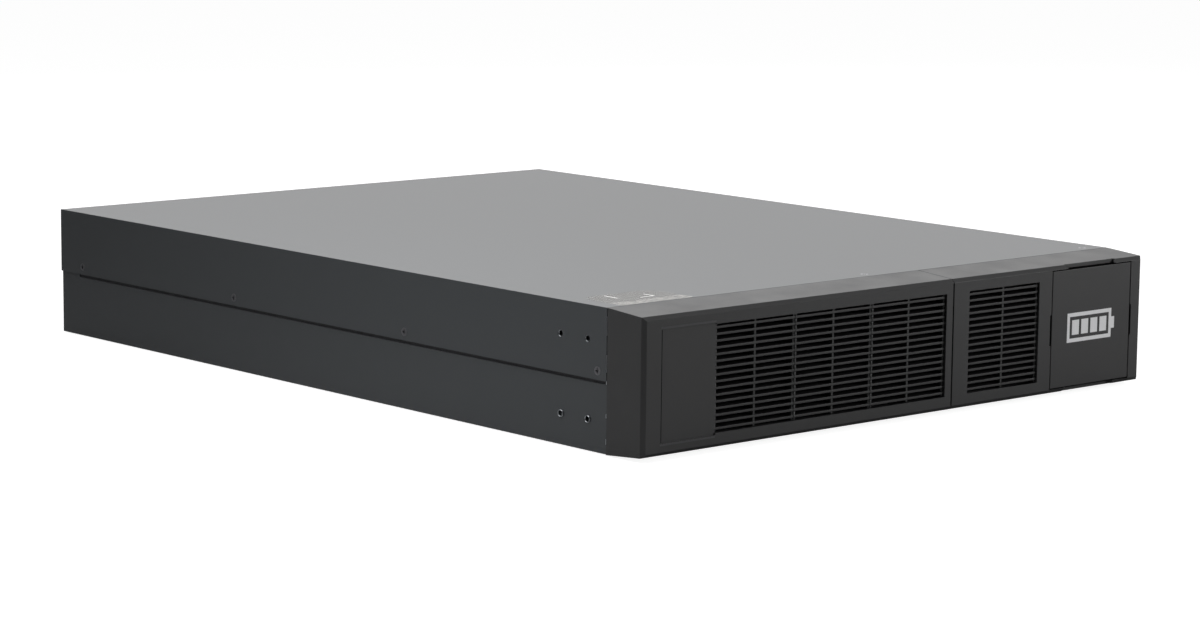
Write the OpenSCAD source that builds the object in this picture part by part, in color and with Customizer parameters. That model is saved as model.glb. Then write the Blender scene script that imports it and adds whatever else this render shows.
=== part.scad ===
// Rack and tower battery pack of an uninterruptible power supply, two rack units high.
// Millimetres. +Z is up, the front faces -Y and +X is to the right seen from the front.
// The origin is under the middle of the pack, level with the pads it stands on.

/* [Case] */
// Width over the top cover's side flanges
case_w = 440; // [420:1:560]
// Height from the underside of the floor to the top of the cover
case_h = 86.5; // [84:0.5:110]
// Depth of the steel case behind the front bezel
case_d = 578.5; // [560:1:760]
// Thickness of the case's sheet steel
sheet_t = 1.2; // [0.8:0.1:1.5]
// Height of the lower edge of the top cover's side flanges
seam_h = 43.2; // [36:0.1:48]
// Height of the groove in the base's walls under the cover's edge
groove_h = 2.2; // [1:0.1:4]
// Distance of the groove's end from the case's rear edge
groove_end = 21.5; // [10:0.5:40]
// Distance of the rear panel from the case's rear edge
rear_inset = 10; // [10:1:20]
// Width of the flanges that join the sheets
flange_w = 14; // [10:1:18]
// Thickness of the round pads stuck under the floor
foot_t = 0.8; // [0.5:0.1:2]

/* [Bezel] */
// Depth of the front bezel
bezel_d = 31.5; // [28:0.5:40]
// Width of the left bezel, from the case's left side to the split
left_bezel_w = 259.4; // [245:0.1:300]
// Wall thickness of the bezel mouldings
bezel_wall = 2.4; // [1.8:0.1:3]
// Thickness of the bezel's front plate
bezel_front_t = 3.2; // [2.6:0.1:4]
// How far the top and bottom faces close in towards the front
bezel_taper = 2.2; // [0:0.1:4]
// How far the side faces close in towards the front
bezel_side_taper = 0.4; // [0:0.1:2]
// Chamfer round the bezel's front edges
bezel_chamfer = 2.3; // [1:0.1:3]
// Gap between the two bezels, and between them and the case
bezel_gap = 0.5; // [0.3:0.1:0.8]
// Width of a bezel's snap tongue
tongue_w = 12; // [8:1:16]
// Length of a tongue behind the case's front edge
tongue_reach = 9; // [6:1:12]

/* [Grille] */
// Height of the grille openings
grille_h = 64.6; // [48:0.2:68]
// Width of one louvre module
module_w = 65.2; // [54:0.2:66]
// Distance from the left side of the case to the left grille opening
left_grille_x = 57.5; // [40:0.5:60]
// Distance from the bezel split to the right grille opening
right_grille_x = 14.4; // [8:0.2:16]
// Distance between the slats' centres
slat_pitch = 4; // [3.6:0.1:6]
// Height of one slat
slat_t = 1.5; // [1:0.1:2]
// Depth of the louvre module's ribs behind the bezel's front face
rib_d = 14; // [9:0.5:16]
// Thickness of the louvre module's ribs
rib_t = 1.6; // [1.2:0.1:2]
// Distance of the blank name recess from the left side of the case
recess_x = 14.3; // [10:0.1:20]
// Depth of the blank name recess
recess_d = 0.8; // [0.4:0.1:1]

/* [Label plate] */
// Side of the square label plate
plate_s = 75.8; // [60:0.2:76.2]
// Thickness of the label plate's front
plate_t = 2.4; // [1.8:0.1:3]
// Gap round the label plate
plate_gap = 0.6; // [0.4:0.1:0.8]
// Distance from the case's right side to the label plate
plate_edge = 12.4; // [10:0.1:16]
// Depth of the plate's skirt inside its well
skirt_d = 9; // [6:0.5:12]
// Width of the finger scoops over and under the plate
scoop_w = 52; // [40:1:56]
// Depth of the finger scoops
scoop_d = 3.4; // [2:0.1:4]

/* [Rack ear holes] */
// Distance of the front pair of holes from the case's front edge
ear_hole_y = 17; // [14:0.5:25]
// Spacing of the holes front to back
ear_pitch_y = 24.1; // [20:0.1:30]
// Spacing of the holes in height
ear_pitch_z = 47.6; // [40:0.1:50]
// Height of the lower holes
ear_hole_z = 18.8; // [15:0.1:22]
// Diameter of the holes
ear_hole_dia = 4.2; // [3.4:0.1:5]

/* [Screws] */
// Thread diameter of the small screws
screw_dia = 3; // [2.5:0.5:3]
// Head diameter of the countersunk screws
head_dia = 5.4; // [5:0.1:6]
// Length of the small screws
screw_len = 7; // [5:1:9]
// Height of the side screws over the seam
side_screw_z = 5.3; // [4:0.1:7]
// Distance of the first side screw from the case's front edge
side_screw_front = 8; // [7:0.1:11]
// Distance of the last side screw from the case's rear edge
side_screw_rear = 27; // [24:1:40]
// Distance of the outer top screws from the case's sides
top_screw_x = 15; // [12:1:25]

/* [Batteries] */
// Length of one battery block
bat_l = 151; // [145:1:155]
// Width of one battery block without its terminals
bat_w = 94; // [88:1:95]
// Thickness of one battery block, which lies on its side
bat_t = 65; // [60:1:66]
// Distance of the terminals from the middle of the block
term_y = 60; // [52:1:64]
// Gap between blocks and round them
bat_gap = 0.5; // [0.3:0.1:1]
// Width of the wiring alley between the two rows of blocks
alley_w = 16.4; // [16:0.1:20]
// Sheet thickness of the battery trays
tray_t = 1; // [0.8:0.1:1.2]
// Height of the trays' walls
tray_wall_h = 26; // [15:1:28]
// Distance from the middle of the case to a tray
tray_x = 6; // [5:0.5:7]
// Distance from the case's front edge to a tray
tray_y = 22; // [21:1:30]

/* [Rear] */
// Width of the battery breaker
breaker_w = 38; // [34:1:42]
// Height of the battery breaker
breaker_h = 63; // [56:1:66]
// Depth of the battery breaker behind the rear panel
breaker_d = 46; // [40:1:50]
// Width of a power socket
socket_w = 37; // [32:1:40]
// Height of a power socket
socket_h = 17; // [16:1:22]
// Length of a power socket behind the rear panel
socket_l = 36; // [30:1:38]
// Distance of the first power socket from the middle
socket_x = 72; // [60:1:80]
// Distance between the power sockets
socket_pitch = 62; // [50:1:70]
// Throw of the breaker's toggle in degrees
toggle_throw = 60; // [40:5:70]
// Diameter of the power leads
lead_dia = 4.4; // [3:0.2:5]

/* [Hidden] */
$fn = 40;
EPS = 0.01;

// Overall places
total_d = case_d + bezel_d;
front_y = -total_d / 2;
case_y = front_y + bezel_d;
rear_y = total_d / 2;
half_w = case_w / 2;
wall_x = half_w - 2 * sheet_t;
mid_z = case_h / 2;
floor_z = sheet_t;
roof_z = case_h - sheet_t;
groove_d = sheet_t * 0.6;
fit = 0.1;
seat_gap = 0.2;
foot_dia = 20;
foot_in = 40;

// Bezel places
bezel_back = case_y - bezel_gap;
split_x = -half_w + left_bezel_w;
grille_z0 = mid_z - grille_h / 2;
grille_z1 = mid_z + grille_h / 2;
left_modules = 3;
left_grille_x0 = -half_w + left_grille_x;
right_grille_x0 = split_x + right_grille_x;
module_gap = 0.2;
rail_h = 2.6;
slats_on_module = floor((grille_h - slat_pitch) / slat_pitch) + 1;
plate_cx = half_w - plate_edge - plate_s / 2;
well_s = plate_s + 2 * plate_gap;
well_d = skirt_d + bezel_front_t + 2;
tongue_t = 2.2;
tongue_z = [bezel_wall + bezel_taper + 1.2, case_h - bezel_wall - bezel_taper - 1.2 - tongue_t];
tongue_side = 32;
tongue_split = 22;
left_tongue_x = [-half_w + tongue_side, (split_x - half_w) / 2, split_x - tongue_split];
right_tongue_x = [split_x + tongue_split, half_w - tongue_side];
tongue_xs = concat(left_tongue_x, right_tongue_x);
panel_screw_xs = [for (i = [0, 1, 3]) (tongue_xs[i] + tongue_xs[i + 1]) / 2];

// Side and top screws
side_pitch = (case_d - side_screw_front - side_screw_rear) / 3;
side_screw_y = [for (i = [0:3]) case_y + side_screw_front + i * side_pitch];
top_screw_xs = [-half_w + top_screw_x, 0, half_w - top_screw_x];
ear_y = [case_y + ear_hole_y, case_y + ear_hole_y + ear_pitch_y];
ear_z = [ear_hole_z, ear_hole_z + ear_pitch_z];

// Battery places: two rows of three blocks in each tray
rows = 3;
tray_in_w = 2 * bat_w + alley_w + 2 * bat_gap;
tray_in_l = rows * bat_l + (rows + 1) * bat_gap;
tray_w = tray_in_w + 2 * tray_t;
tray_l = tray_in_l + 2 * tray_t;
tray_y0 = case_y + tray_y;
tray_cx = tray_x + tray_w / 2;
bat_z = floor_z + tray_t;
term_z = bat_z + bat_t / 2;
bat_top = bat_z + bat_t;
pad_t = 3;
bar_y = [tray_y0 + tray_l * 0.2, tray_y0 + tray_l * 0.78];
bar_w = 24;
lid_t = 6;
tab_l = 6.4;
tab_w = 6.35;
tab_t = 0.8;
flag = [7.6, 14, 9];
link_dia = 3.4;
splice_l = 14;

// Rear places
panel_out = rear_y - rear_inset;
panel_in = panel_out - sheet_t;
breaker_y0 = panel_in - breaker_d;
nose = [30, 34];
nose_out = 3;
pole_x = breaker_w / 4;
stud_z = 20;
stud_dia = 5;
stud_l = 11;
boot_dia = 12;
boot_l = 13;
hub_r = 6.5;
toggle_w = 18;
lever_l = 13;
lever_t = 3;
hub_y = panel_out + nose_out - hub_r;
run_y = tray_y0 + tray_l + 11;
holder_x = 70;
holder_dia = 15;
holder_l = 42;
contact_x = 8;
contact_dia = 7;
socket_wall = 2;
mouth_d = 22;
socket_xs = [socket_x, socket_x + socket_pitch];
port = [16, 14, 13];
port_x = -62;
stud_x = -178;
stud_mid_z = 24;
vent_x = [-150, -86];

// ---------------------------------------------------------------- helpers

// A solid along X from an outline in Y and Z
module x_prism(points, x0, x1) {
    translate([x0, 0, 0]) rotate([90, 0, 90]) linear_extrude(x1 - x0) polygon(points);
}

// A solid along Z from an outline in X and Y
module z_prism(points, z0, z1) {
    translate([0, 0, z0]) linear_extrude(z1 - z0) polygon(points);
}

// A block between two corners
module block(low, high) {
    translate(low) cube(high - low);
}

// A round bar along one axis from a starting point
module bar_x(p, l, d) { translate(p) rotate([0, 90, 0]) cylinder(h = l, d = d); }
module bar_y(p, l, d) { translate(p) rotate([-90, 0, 0]) cylinder(h = l, d = d); }

// A round bar between any two points
module rod(a, b, d) {
    v = b - a;
    l = norm(v);
    translate(a) rotate([0, acos(v[2] / l), atan2(v[1], v[0])]) cylinder(h = l, d = d);
}

// A lead through a list of points, its insulation a little fuller at each bend
module lead(points, d) {
    for (i = [0:len(points) - 2]) rod(points[i], points[i + 1], d);
    for (i = [1:len(points) - 2]) translate(points[i]) sphere(d = 1.12 * d);
}

// A crimped splice sleeve along X, where a branch leaves a lead
module splice(p) { bar_x(p - [splice_l / 2, 0, 0], splice_l, lead_dia + 3); }

// A countersunk screw along -Z, its head's face at the origin
module countersunk_screw() {
    difference() {
        union() {
            translate([0, 0, -sheet_t]) cylinder(h = sheet_t, d1 = screw_dia, d2 = head_dia);
            translate([0, 0, -screw_len]) cylinder(h = screw_len - EPS, d = screw_dia);
        }
        for (turn = [0, 90]) rotate(turn) translate([-1.5, -0.35, -0.9]) cube([3, 0.7, 1]);
    }
}

// A pan head screw along -Z, the underside of its head at the origin
module pan_screw() {
    difference() {
        union() {
            cylinder(h = 1.9, d = head_dia);
            translate([0, 0, -screw_len]) cylinder(h = screw_len + EPS, d = screw_dia);
        }
        for (turn = [0, 90]) rotate(turn) translate([-1.5, -0.35, 0.9]) cube([3, 0.7, 2]);
    }
}

// The countersunk hole for a screw, down through the sheet
module countersink() {
    translate([0, 0, -sheet_t]) cylinder(h = sheet_t + fit, d1 = screw_dia + 2 * fit,
        d2 = head_dia + 4 * fit);
    translate([0, 0, -screw_len]) cylinder(h = screw_len, d = screw_dia + 2 * fit);
}

// Copies at the side screws' places, facing outwards
module at_side_screws() {
    for (side = [-1, 1]) for (y = side_screw_y)
        translate([side * half_w, y, seam_h + side_screw_z]) rotate([0, side * 90, 0]) children();
}

// Copies at the top screws' places
module at_top_screws() {
    for (x = top_screw_xs) translate([x, case_y + side_screw_front, case_h]) children();
}

// Copies at the rack ear holes, facing outwards
module at_ear_holes() {
    for (side = [-1, 1]) for (y = ear_y) for (z = ear_z)
        translate([side * half_w, y, z]) rotate([0, side * 90, 0]) children();
}

// Copies at the front panel's screws, facing the front
module at_panel_screws() {
    for (x = panel_screw_xs) translate([x, case_y, floor_z + 12]) rotate([90, 0, 0]) children();
}

// Copies at the rear panel's screws, facing the rear
module at_rear_screws() {
    for (x = [-wall_x + 7, wall_x - 7]) for (z = [floor_z + 12, roof_z - 12])
        translate([x, panel_out, z]) rotate([-90, 0, 0]) children();
}

// Everything is drawn from the floor's underside, and then stands on the pads
module on_feet() { translate([0, 0, foot_t]) children(); }

// ---------------------------------------------------------------- steel case

module chassis_base() {
    outer = wall_x + sheet_t;
    color("#2b2c2e") difference() {
        union() {
            block([-outer, case_y, 0], [outer, rear_y, floor_z]);
            for (side = [-1, 1])
                block([min(side * wall_x, side * outer), case_y, 0],
                    [max(side * wall_x, side * outer), rear_y, roof_z - seat_gap]);
            // Tabs bent up from the floor, which take the front panel's screws
            for (x = panel_screw_xs)
                block([x - 9, case_y + sheet_t, 0], [x + 9, case_y + 2 * sheet_t, floor_z + 20]);
            // Corner tabs behind the rear panel
            for (side = [-1, 1])
                block([min(side * wall_x, side * (wall_x - flange_w)), panel_in - sheet_t, 0],
                    [max(side * wall_x, side * (wall_x - flange_w)), panel_in, roof_z - 2]);
        }
        for (side = [-1, 1])
            block([side * outer - groove_d, case_y - 1, seam_h - groove_h],
                [side * outer + groove_d, rear_y - groove_end, seam_h]);
        at_side_screws() cylinder(h = 4 * screw_len, d = screw_dia + 2 * fit, center = true);
        at_ear_holes() cylinder(h = 4 * sheet_t + 2, d = ear_hole_dia, center = true);
        at_panel_screws() cylinder(h = 4 * screw_len, d = screw_dia + 2 * fit, center = true);
        at_rear_screws() cylinder(h = 4 * screw_len, d = screw_dia + 2 * fit, center = true);
    }
}

// Thin round pads stuck under the corners of the floor, on which the pack stands
module floor_pads() {
    color("#1c1c1d") for (x = [-half_w + foot_in, half_w - foot_in])
        for (y = [case_y + foot_in, rear_y - foot_in])
            translate([x, y, -foot_t]) cylinder(h = foot_t, d = foot_dia);
}

module top_cover() {
    color("#333437") difference() {
        union() {
            block([-half_w, case_y, roof_z], [half_w, rear_y, case_h]);
            for (side = [-1, 1])
                block([min(side * half_w, side * (half_w - sheet_t)), case_y, seam_h],
                    [max(side * half_w, side * (half_w - sheet_t)), rear_y, case_h]);
        }
        at_side_screws() countersink();
        at_top_screws() countersink();
        at_ear_holes() cylinder(h = 4 * sheet_t + 2, d = ear_hole_dia, center = true);
    }
}

module front_panel() {
    slot = [3, 40];
    color("#26272a") difference() {
        union() {
            block([-wall_x, case_y, floor_z], [wall_x, case_y + sheet_t, roof_z - seat_gap]);
            // Top flange, which takes the cover's screws
            block([-wall_x, case_y, roof_z - sheet_t - seat_gap],
                [wall_x, case_y + flange_w, roof_z - seat_gap]);
            for (side = [-1, 1])
                block([min(side * wall_x, side * (wall_x - sheet_t)), case_y, floor_z],
                    [max(side * wall_x, side * (wall_x - sheet_t)), case_y + flange_w, seam_h]);
        }
        at_top_screws() cylinder(h = 4 * screw_len, d = screw_dia + 2 * fit, center = true);
        at_side_screws() cylinder(h = 4 * screw_len, d = screw_dia + 2 * fit, center = true);
        at_panel_screws() cylinder(h = 4 * screw_len, d = screw_dia + 2 * fit, center = true);
        // Slots for the bezels' snap tongues
        for (x = tongue_xs) for (z = tongue_z)
            block([x - tongue_w / 2 - 1, case_y - 1, z - 0.7],
                [x + tongue_w / 2 + 1, case_y + sheet_t + 1, z + tongue_t + 0.7]);
        // Air slots behind the grilles
        for (m = [0:left_modules]) for (i = [0:6])
            translate([grille_x0(m) + module_w / 2 + (i - 3) * 8, case_y, mid_z])
                cube([slot[0], 4 * sheet_t, slot[1]], center = true);
        // Clear of the rack screws' nuts
        at_ear_holes() cylinder(h = 24, d = 11, center = true);
    }
}

module rear_panel() {
    color("#2b2c2e") difference() {
        block([-wall_x, panel_in, floor_z], [wall_x, panel_out, roof_z - seat_gap]);
        at_rear_screws() cylinder(h = 4 * screw_len, d = screw_dia + 2 * fit, center = true);
        translate([0, panel_out, mid_z]) cube([nose[0] + 2 * fit, 8, nose[1] + 2 * fit], center = true);
        for (x = socket_xs) translate([x, panel_out, mid_z])
            cube([socket_w + 2 * fit, 8, socket_h + 2 * fit], center = true);
        translate([port_x, panel_out, mid_z]) cube([port[0] + 2 * fit, 8, port[2] + 2 * fit], center = true);
        bar_y([stud_x, panel_in - 1, stud_mid_z], 4, stud_dia + 2 * fit);
        for (x0 = vent_x) for (i = [0:6]) for (z = [mid_z - 17, mid_z, mid_z + 17])
            translate([x0 + (i - 3) * 7, panel_out, z]) cube([3, 8, 13], center = true);
    }
}

module centre_divider() {
    color("#8d9093") union() {
        block([-sheet_t / 2, tray_y0, floor_z], [sheet_t / 2, tray_y0 + tray_l, roof_z - seat_gap]);
        block([-sheet_t / 2, tray_y0, floor_z], [tray_x - 1, tray_y0 + tray_l, floor_z + sheet_t]);
    }
}

// Hat bars over the blocks, welded between the case wall and the divider
module hold_downs(side) {
    z0 = bat_top + pad_t;
    color("#8d9093") for (y = bar_y) mirror([side < 0 ? 1 : 0, 0, 0]) {
        block([sheet_t / 2, y - bar_w / 2, z0], [wall_x, y + bar_w / 2, z0 + sheet_t]);
        block([sheet_t / 2, y - bar_w / 2, z0], [sheet_t * 1.5, y + bar_w / 2, z0 + 9]);
        block([wall_x - sheet_t, y - bar_w / 2, z0], [wall_x, y + bar_w / 2, z0 + 9]);
    }
}

// Foam strips between the hat bars and the blocks
module pads(side) {
    color("#4a4a4c") for (y = bar_y) for (row = [-1, 1])
        translate([side * tray_cx + row * (alley_w + bat_w) / 2, y, bat_top + pad_t / 2])
            cube([bat_w - 10, bar_w, pad_t], center = true);
}

// ---------------------------------------------------------------- front bezel

function grille_x0(m) = m < left_modules ? left_grille_x0 + m * module_w : right_grille_x0;

// Outline of the bezel in Y and Z
function bezel_side_outline() = [
    [bezel_back, 0], [bezel_back, case_h],
    [front_y + bezel_chamfer, case_h - bezel_taper],
    [front_y, case_h - bezel_taper - bezel_chamfer],
    [front_y, bezel_taper + bezel_chamfer],
    [front_y + bezel_chamfer, bezel_taper]];

// Outline of the bezel in X and Y
function bezel_plan_outline() = [
    [-half_w, bezel_back], [half_w, bezel_back],
    [half_w - bezel_side_taper, front_y + bezel_chamfer],
    [half_w - bezel_side_taper - bezel_chamfer, front_y],
    [-half_w + bezel_side_taper + bezel_chamfer, front_y],
    [-half_w + bezel_side_taper, front_y + bezel_chamfer]];

// The whole outer shape between two places along X
module bezel_outer(x0, x1) {
    intersection() {
        x_prism(bezel_side_outline(), x0, x1);
        z_prism(bezel_plan_outline(), -1, case_h + 1);
    }
}

// Hollow moulding between two places along X
module bezel_shell(x0, x1) {
    cavity = [
        [bezel_back + 1, bezel_wall], [bezel_back + 1, case_h - bezel_wall],
        [front_y + bezel_front_t, case_h - bezel_taper - bezel_wall],
        [front_y + bezel_front_t, bezel_taper + bezel_wall]];
    difference() {
        bezel_outer(x0, x1);
        x_prism(cavity, x0 + bezel_wall, x1 - bezel_wall);
    }
}

// Snap tongues that pass through the front panel
module tongues(xs) {
    for (x = xs) for (turn = [0, 1]) translate([0, 0, turn * case_h]) mirror([0, 0, turn]) {
        block([x - tongue_w / 2, front_y + 12, tongue_z[0]],
            [x + tongue_w / 2, case_y + tongue_reach, tongue_z[0] + tongue_t]);
        block([x - tongue_w / 2, front_y + 12, bezel_wall / 2 + bezel_taper / 2],
            [x + tongue_w / 2, bezel_back - 3, tongue_z[0] + EPS]);
    }
}

module left_bezel() {
    x1 = split_x - bezel_gap / 2;
    grille_x1 = left_grille_x0 + left_modules * module_w;
    color("#3b3b3d") difference() {
        union() {
            bezel_shell(-half_w, x1);
            tongues(left_tongue_x);
        }
        block([left_grille_x0, front_y - 1, grille_z0],
            [grille_x1, front_y + bezel_front_t + 1, grille_z1]);
        block([-half_w + recess_x, front_y - 1, grille_z0 - 1.2],
            [left_grille_x0 + EPS, front_y + recess_d, grille_z1 + 0.6]);
    }
}

// The square well that the label plate sits in
module plate_well() {
    outer = well_s + 2 * bezel_wall;
    intersection() {
        difference() {
            translate([plate_cx, front_y + well_d / 2, mid_z]) cube([outer, well_d, outer], center = true);
            translate([plate_cx, front_y + well_d / 2 - bezel_wall, mid_z])
                cube([well_s, well_d, well_s], center = true);
            bar_y([plate_cx, front_y, mid_z], well_d + 1, 20);
        }
        bezel_outer(split_x, half_w);
    }
}

// A finger scoop, cut through the bezel's edge over the plate
module scoop() {
    top_z = case_h / 2 + 2;
    x0 = -scoop_w / 2;
    x1 = scoop_w / 2;
    translate([plate_cx, front_y, mid_z]) rotate([90, 0, 0]) translate([0, 0, -scoop_d])
        linear_extrude(scoop_d + 1) polygon([[x0 + 4, plate_s / 2 - 2], [x1 - 4, plate_s / 2 - 2],
            [x1, top_z], [x0, top_z]]);
}

module right_bezel() {
    x0 = split_x + bezel_gap / 2;
    pry = [1, 20];
    color("#3b3b3d") difference() {
        union() {
            bezel_shell(x0, half_w);
            plate_well();
            tongues(right_tongue_x);
        }
        block([right_grille_x0, front_y - 1, grille_z0],
            [right_grille_x0 + module_w, front_y + bezel_front_t + 1, grille_z1]);
        translate([plate_cx, front_y, mid_z]) cube([well_s, 2 * bezel_front_t + 2, well_s], center = true);
        scoop();
        translate([0, 0, 2 * mid_z]) mirror([0, 0, 1]) scoop();
        // Narrow pry slots at both sides of the plate
        for (side = [-1, 1]) translate([plate_cx + side * (well_s + pry[0]) / 2, front_y, mid_z])
            cube([pry[0] + EPS, 2 * scoop_d, pry[1]], center = true);
    }
}

// One louvre module: deep flat slats between ribs that nearly reach their front edges
module louvre(m) {
    x0 = grille_x0(m) + module_gap / 2;
    x1 = grille_x0(m) + module_w - module_gap / 2;
    slat_y0 = front_y + recess_d + 0.4;
    rib_y0 = slat_y0 + 0.4;
    rib_y1 = front_y + rib_d;
    slat_y1 = rib_y1 - 1;
    rib_x = [x0, (x0 + x1 - rib_t) / 2, x1 - rib_t];
    low = grille_z0 + module_gap;
    high = grille_z1 - module_gap;
    z_first = mid_z - (slats_on_module - 1) * slat_pitch / 2;
    color("#2f2f31") union() {
        for (i = [0:slats_on_module - 1])
            block([x0, slat_y0, z_first + i * slat_pitch - slat_t / 2],
                [x1, slat_y1, z_first + i * slat_pitch + slat_t / 2]);
        for (x = rib_x) {
            block([x, rib_y0, low], [x + rib_t, rib_y1, high]);
            block([x, front_y + bezel_front_t, low - rail_h], [x + rib_t, rib_y1, high + rail_h]);
        }
        for (z = [low - rail_h, high + module_gap])
            block([x0, front_y + bezel_front_t, z], [x1, front_y + bezel_front_t + 2.4,
                z + rail_h - module_gap]);
    }
}

module grille_1() { louvre(0); }
module grille_2() { louvre(1); }
module grille_3() { louvre(2); }
module grille_4() { louvre(left_modules); }

module label_plate() {
    skirt = plate_s - 2 * plate_gap;
    skirt_t = 1.8;
    color("#39393b") union() {
        translate([plate_cx, front_y + plate_t / 2, mid_z]) cube([plate_s, plate_t, plate_s], center = true);
        difference() {
            translate([plate_cx, front_y + plate_t + skirt_d / 2 - EPS, mid_z])
                cube([skirt, skirt_d, skirt], center = true);
            translate([plate_cx, front_y + plate_t + skirt_d / 2 + 1, mid_z])
                cube([skirt - 2 * skirt_t, skirt_d + 2, skirt - 2 * skirt_t], center = true);
        }
    }
}

// ---------------------------------------------------------------- batteries

// A folded tray for two rows of blocks
module tray(side) {
    color("#9a9da0") translate([side * tray_cx, tray_y0, floor_z]) difference() {
        translate([-tray_w / 2, 0, 0]) cube([tray_w, tray_l, tray_wall_h]);
        translate([-tray_in_w / 2, tray_t, tray_t]) cube([tray_in_w, tray_in_l, tray_wall_h]);
        // Finger slot in the front wall
        translate([-25, -1, tray_wall_h - 14]) cube([50, tray_t + 2, 9]);
    }
}

module left_tray() { tray(-1); }
module right_tray() { tray(1); }
module left_hold_downs() { hold_downs(-1); }
module right_hold_downs() { hold_downs(1); }
module left_pads() { pads(-1); }
module right_pads() { pads(1); }

function row_y(i) = tray_y0 + tray_t + bat_gap + bat_l / 2 + i * (bat_l + bat_gap);

// A block lying on its side, its lid and two terminals facing along +X from the alley's edge
module block_battery() {
    body_w = bat_w - lid_t;
    color("#3a3d42") union() {
        translate([-bat_w, -bat_l / 2, 0]) cube([body_w + EPS, bat_l, bat_t]);
        translate([-lid_t, -bat_l / 2 + 1, 1]) cube([lid_t, bat_l - 2, bat_t - 2]);
        for (y = [-term_y, term_y]) translate([-EPS, y - tab_w / 2, bat_t / 2 - tab_t / 2])
            cube([tab_l, tab_w, tab_t]);
    }
}

// Blocks 1 to 6 are in the left tray and 7 to 12 in the right one, outer row first
module battery(n) {
    k = (n - 1) % 6;
    side = n <= 6 ? -1 : 1;
    outer_row = k < rows;
    turn = side < 0 ? (outer_row ? 0 : 1) : (outer_row ? 1 : 0);
    translate([side * tray_cx, row_y(k % rows), bat_z]) mirror([turn, 0, 0])
        translate([-alley_w / 2, 0, 0]) block_battery();
}

// Insulated flag sleeve on the terminal at the origin
module flag_sleeve() {
    difference() {
        translate([0.3, -flag[1] / 2, -flag[2] / 2]) cube([flag[0] - 0.3, flag[1], flag[2]]);
        translate([-1, -tab_w / 2 - fit, -tab_t / 2 - fit])
            cube([tab_l + 1 + fit, tab_w + 2 * fit, tab_t + 2 * fit]);
    }
}

// The jumper leads of one tray: two along each row, and one across the front
module links(side) {
    x = alley_w / 2 - flag[0] / 2;
    color("#1c1c1e") translate([side * tray_cx, 0, term_z]) {
        for (row = [0, 1]) mirror([row, 0, 0]) for (i = [0:rows - 2]) union() {
            translate([-alley_w / 2, row_y(i) + term_y, 0]) flag_sleeve();
            translate([-alley_w / 2, row_y(i + 1) - term_y, 0]) flag_sleeve();
            bar_y([-x, row_y(i) + term_y + flag[1] / 2 - 1, 0], bat_l + bat_gap - 2 * term_y
                - flag[1] + 2, link_dia);
        }
        union() {
            for (row = [0, 1]) mirror([row, 0, 0]) {
                translate([-alley_w / 2, row_y(0) - term_y, 0]) flag_sleeve();
                lead([[-x, row_y(0) - term_y - flag[1] / 2 + 1, 0],
                    [-x, row_y(0) - term_y - flag[1] / 2 - 4, 0],
                    [EPS, row_y(0) - term_y - flag[1] / 2 - 4, 0]], link_dia);
            }
        }
    }
}

module left_links() { links(-1); }
module right_links() { links(1); }

// ---------------------------------------------------------------- rear wiring

lead_x = alley_w / 2 - flag[0] / 2;
low_z = mid_z - stud_z;
high_z = mid_z + stud_z;
boot_y = breaker_y0 - boot_l - 0.3;

// The positive lead of one tray, from its last terminal to the fuse holder
module positive_tray_lead(side) {
    y = row_y(rows - 1) + term_y;
    color("#a3231d") mirror([side < 0 ? 0 : 1, 0, 0]) union() {
        translate([-tray_cx - alley_w / 2, y, term_z]) flag_sleeve();
        lead([[-tray_cx - lead_x, y + flag[1] / 2 - 1, term_z], [-tray_cx - lead_x, run_y - 8, term_z],
            [-tray_cx - lead_x, run_y, low_z], [-holder_x - holder_l / 2, run_y, low_z]], lead_dia);
    }
}

module left_positive_lead() { positive_tray_lead(-1); }
module right_positive_lead() { positive_tray_lead(1); }

// An inline fuse holder with its screwed cap
module fuse_holder(side) {
    color("#1d1d1f") mirror([side < 0 ? 0 : 1, 0, 0]) union() {
        bar_x([-holder_x - holder_l / 2 + 4, run_y, low_z], holder_l - 8, holder_dia);
        bar_x([-holder_x - holder_l / 2, run_y, low_z], holder_l, holder_dia - 5);
        bar_x([-holder_x - 2, run_y, low_z], 4, holder_dia + 2);
    }
}

module left_fuse_holder() { fuse_holder(-1); }
module right_fuse_holder() { fuse_holder(1); }

// The boot over a breaker stud, hollow for the stud and its ring terminal
module stud_boot(x, z) {
    difference() {
        bar_y([x, boot_y, z], boot_l, boot_dia);
        bar_y([x, breaker_y0 - stud_l - fit, z], stud_l + 1, stud_dia + 2 * fit);
    }
}

// The positive leads of both trays, joined at a splice and led to the breaker
module positive_lead() {
    x1 = holder_x - holder_l / 2;
    color("#a3231d") union() {
        stud_boot(pole_x, low_z);
        bar_x([-x1, run_y, low_z], 2 * x1, lead_dia);
        splice([pole_x, run_y, low_z]);
        bar_y([pole_x, run_y, low_z], boot_y + 1 - run_y, lead_dia);
    }
}

// The negative leads of both trays, joined at a splice and led to the breaker
module negative_lead() {
    y = row_y(rows - 1) + term_y;
    x = tray_cx - lead_x;
    color("#1c1c1e") union() {
        stud_boot(-pole_x, high_z);
        for (side = [-1, 1]) mirror([side < 0 ? 0 : 1, 0, 0])
            translate([-tray_cx + alley_w / 2, y, term_z]) mirror([1, 0, 0]) flag_sleeve();
        lead([[-x, y + flag[1] / 2 - 1, term_z], [-x, run_y - 8, term_z], [-x, run_y, high_z],
            [x, run_y, high_z], [x, run_y - 8, term_z], [x, y + flag[1] / 2 - 1, term_z]], lead_dia);
        splice([-pole_x, run_y, high_z]);
        bar_y([-pole_x, run_y, high_z], boot_y + 1 - run_y, lead_dia);
    }
}

socket_back = panel_out - socket_l;
drop_y = socket_back - 8;

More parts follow.
